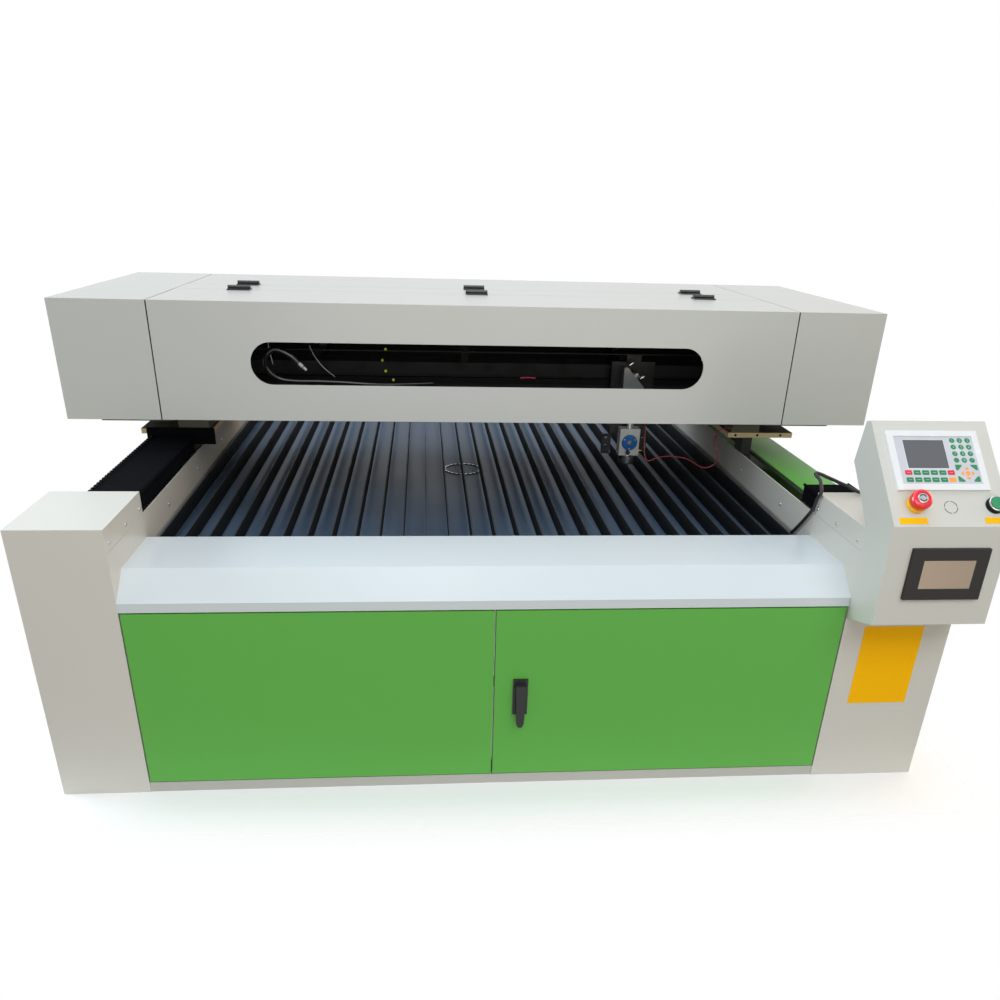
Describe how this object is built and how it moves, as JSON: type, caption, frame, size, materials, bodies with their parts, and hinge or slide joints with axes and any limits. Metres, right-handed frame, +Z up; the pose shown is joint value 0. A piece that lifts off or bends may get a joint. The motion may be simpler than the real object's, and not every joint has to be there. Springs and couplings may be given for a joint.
{
  "type": "carbon dioxide laser engraving machine",
  "caption": "Large flat-bed laser engraving machine with a covered moving gantry, strip table, front doors and a sloping control console.",
  "frame": {"origin": "on the floor, at the middle of the bed's width and of the base's length", "axes": "+X to the operator's right, +Y from the operator towards the rear, +Z up"},
  "size_m": [2.016, 3.9572, 0.97],
  "materials": {
    "cream_paint": "satin powder coat",
    "green_paint": "satin powder coat",
    "dark_steel": "glossy black enamel",
    "frame_paint": "satin powder coat",
    "bright_steel": "ground",
    "zinc_screws": "zinc plated",
    "black_rubber": "matt",
    "bellows_cloth": "coated pleated cloth",
    "motor_black": "satin",
    "raw_aluminium": "milled",
    "foot_paint": "satin",
    "white_plastic": "moulded",
    "display": "dark glass",
    "key_green": "domed",
    "black_plastic": "moulded",
    "label_yellow": "film",
    "stop_yellow": "moulded",
    "stop_red": "moulded",
    "start_green": "moulded",
    "chrome_ring": "polished",
    "tube_glass": "clear",
    "head_grey": "bead blasted",
    "wire_red": "insulated wire"
  },
  "bodies": {
    "base": {"base_frame": "frame_paint", "pedestal_left": "cream_paint", "pedestal_right": "cream_paint", "front_shelf": "cream_paint", "side_panels": "green_paint", "rear_housing": "cream_paint", "bed_walls": "cream_paint", "waste_tray": "dark_steel", "strip_supports": "dark_steel", "cutting_strips": "dark_steel", "linear_rails": "bright_steel", "drive_belts": "black_rubber", "bearing_blocks": "raw_aluminium", "drive_motor": "motor_black", "door_hinge_pins": "zinc_screws", "panel_screws": "zinc_screws", "console_housing": "cream_paint", "controller_frame": "white_plastic", "display_glass": "display", "controller_keys": "key_green", "touch_panel_frame": "black_plastic", "blank_labels": "label_yellow", "estop_base": "stop_yellow", "button_collar": "chrome_ring", "bellows_front_left": "bellows_cloth", "bellows_front_right": "bellows_cloth", "bellows_rear": "bellows_cloth", "bed_cable": "black_rubber"},
    "left_door": {"door_left": "green_paint"},
    "right_door": {"door_right": "green_paint", "handle_base": "black_plastic"},
    "door_lock": {"handle_lever": "black_plastic", "handle_cam": "zinc_screws"},
    "stop_button": {"estop_head": "stop_red"},
    "start_key": {"start_button": "start_green"},
    "rear_shaft": {"drive_shaft": "bright_steel"},
    "idler_pair": {"front_idlers": "bright_steel"},
    "gantry": {"gantry_beam": "raw_aluminium", "gantry_feet": "foot_paint", "carriages": "bright_steel", "end_cap_left": "cream_paint", "end_cap_right": "cream_paint", "cover_spine": "cream_paint", "hinge_leaves_fixed": "black_plastic", "laser_tube": "tube_glass", "optic_mounts": "raw_aluminium", "cross_rail": "bright_steel", "head_belt": "black_rubber", "head_motor": "motor_black", "pointer_wire": "wire_red"},
    "window_cover": {"front_cover": "cream_paint", "hinge_leaves_front": "black_plastic"},
    "back_cover": {"rear_cover": "cream_paint", "hinge_leaves_rear": "black_plastic"},
    "cross_pulley": {"head_drive_pulley": "bright_steel"},
    "cross_idler": {"head_idler": "bright_steel"},
    "head": {"head_carriage": "motor_black", "mirror_bracket": "head_grey", "head_body": "head_grey"},
    "focus_tube": {"lens_tube": "head_grey"}
  },
  "joints": [
    {"name": "gantry_travel", "type": "slide", "parent": "base", "child": "gantry", "axis": [0, 1, 0], "range_m": [-0.25, 2.26], "deforming": ["bellows_front_left", "bellows_rear"]},
    {"name": "head_travel", "type": "slide", "parent": "gantry", "child": "head", "axis": [1, 0, 0], "range_m": [-1.084, 0.216], "deforming": ["pointer_wire"]},
    {"name": "lens_focus", "type": "slide", "parent": "head", "child": "focus_tube", "axis": [0, 0, 1], "range_m": [-0.012, 0.002]},
    {"name": "window_cover_hinge", "type": "hinge", "parent": "gantry", "child": "window_cover", "pos_m": [0, -1.065, 0.965], "axis": [-1, 0, 0], "range_deg": [0, 85]},
    {"name": "back_cover_hinge", "type": "hinge", "parent": "gantry", "child": "back_cover", "pos_m": [0, -0.93, 0.965], "axis": [1, 0, 0], "range_deg": [0, 85]},
    {"name": "left_door_hinge", "type": "hinge", "parent": "base", "child": "left_door", "pos_m": [-0.741, -1.919, 0.03], "axis": [0, 0, -1], "range_deg": [0, 105]},
    {"name": "right_door_hinge", "type": "hinge", "parent": "base", "child": "right_door", "pos_m": [0.741, -1.919, 0.03], "axis": [0, 0, 1], "range_deg": [0, 90]},
    {"name": "door_handle_turn", "type": "hinge", "parent": "right_door", "child": "door_lock", "pos_m": [0.057, -1.925, 0.252], "axis": [0, -1, 0], "range_deg": [0, 90]},
    {"name": "stop_push", "type": "slide", "parent": "base", "child": "stop_button", "axis": [0, 0.6879, -0.7258], "range_m": [0, 0.004], "stiffness_N_per_m": 1500},
    {"name": "start_push", "type": "slide", "parent": "base", "child": "start_key", "axis": [0, 0.6879, -0.7258], "range_m": [0, 0.003], "stiffness_N_per_m": 800},
    {"name": "drive_shaft_turn", "type": "hinge", "parent": "base", "child": "rear_shaft", "pos_m": [0, 1.825, 0.535], "axis": [1, 0, 0], "continuous": true},
    {"name": "idler_turn", "type": "hinge", "parent": "base", "child": "idler_pair", "pos_m": [0, -1.625, 0.535], "axis": [1, 0, 0], "continuous": true},
    {"name": "cross_pulley_turn", "type": "hinge", "parent": "gantry", "child": "cross_pulley", "pos_m": [0.724, -1.099, 0.831], "axis": [0, 1, 0], "continuous": true},
    {"name": "cross_idler_turn", "type": "hinge", "parent": "gantry", "child": "cross_idler", "pos_m": [-0.724, -1.099, 0.831], "axis": [0, 1, 0], "continuous": true}
  ],
  "couplings": [
    {"joint": "drive_shaft_turn", "follows": "gantry_travel", "rad_per_m": -57.803},
    {"joint": "idler_turn", "follows": "gantry_travel", "rad_per_m": -57.803},
    {"joint": "cross_pulley_turn", "follows": "head_travel", "rad_per_m": -65.359},
    {"joint": "cross_idler_turn", "follows": "head_travel", "rad_per_m": -65.359}
  ]
}
